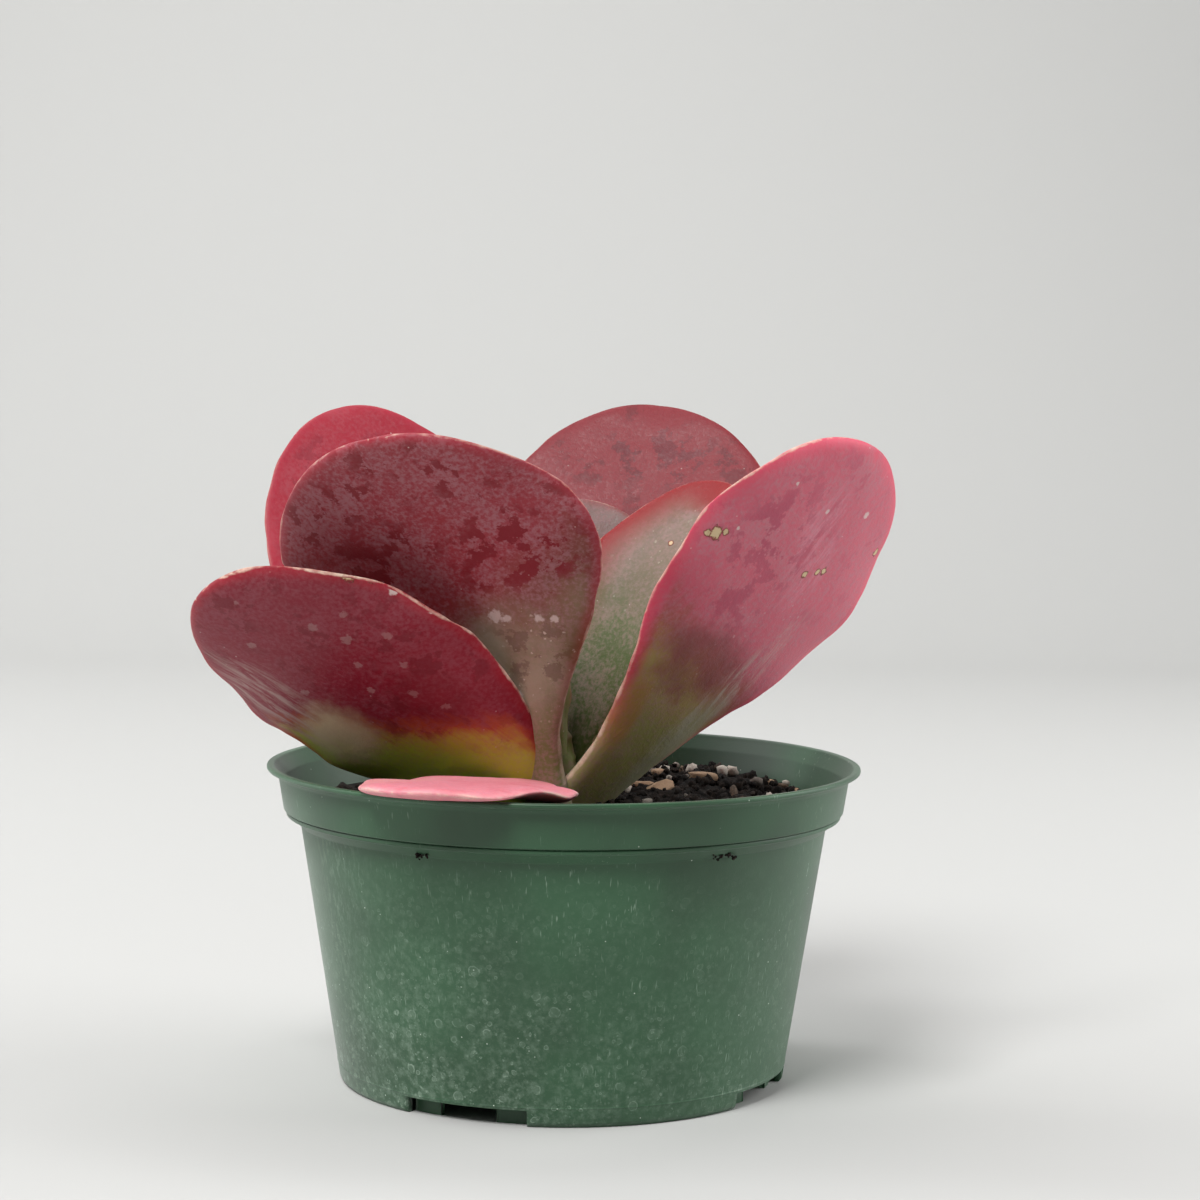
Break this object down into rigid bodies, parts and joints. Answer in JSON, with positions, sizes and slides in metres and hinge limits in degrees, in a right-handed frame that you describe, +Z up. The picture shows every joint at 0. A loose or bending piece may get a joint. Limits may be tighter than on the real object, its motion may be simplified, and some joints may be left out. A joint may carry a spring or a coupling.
{
  "type": "potted paddle plant",
  "caption": "Rosette of thick round paddle-shaped succulent leaves, flushed red, on a short stem in potting mix in a shallow round green nursery pot.",
  "frame": {"origin": "middle of the pot's underside, on the pot's axis, at the height of the surface that it stands on", "axes": "+Z up along the pot's axis, -Y towards the front, where the leaf that lies over the rim is, +X to the right"},
  "size_m": [0.1913, 0.1719, 0.1869],
  "materials": {
    "pot_plastic": "matte moulded green plastic with pale water marks",
    "potting_mix": "damp dark bark and peat mix with white perlite",
    "stem_skin": "fleshy grey-green stem with pale bloom",
    "leaf_skin": "fleshy leaf, waxy matte bloom over crimson, green at the foot",
    "young_leaf_skin": "fleshy young leaf, grey-green under thick pale bloom"
  },
  "bodies": {
    "root": {"pot": "pot_plastic", "potting_mix": "potting_mix", "stem": "stem_skin", "leaf_over_rim": "leaf_skin", "leaf_front_left": "leaf_skin", "leaf_right": "leaf_skin", "leaf_front_upright": "leaf_skin", "leaf_back": "leaf_skin", "leaf_back_left": "leaf_skin", "leaf_right_inner": "leaf_skin", "leaf_inner_back": "leaf_skin", "leaf_inner_front": "leaf_skin", "leaf_bud_left": "young_leaf_skin", "leaf_bud_right": "young_leaf_skin"}
  },
  "joints": []
}
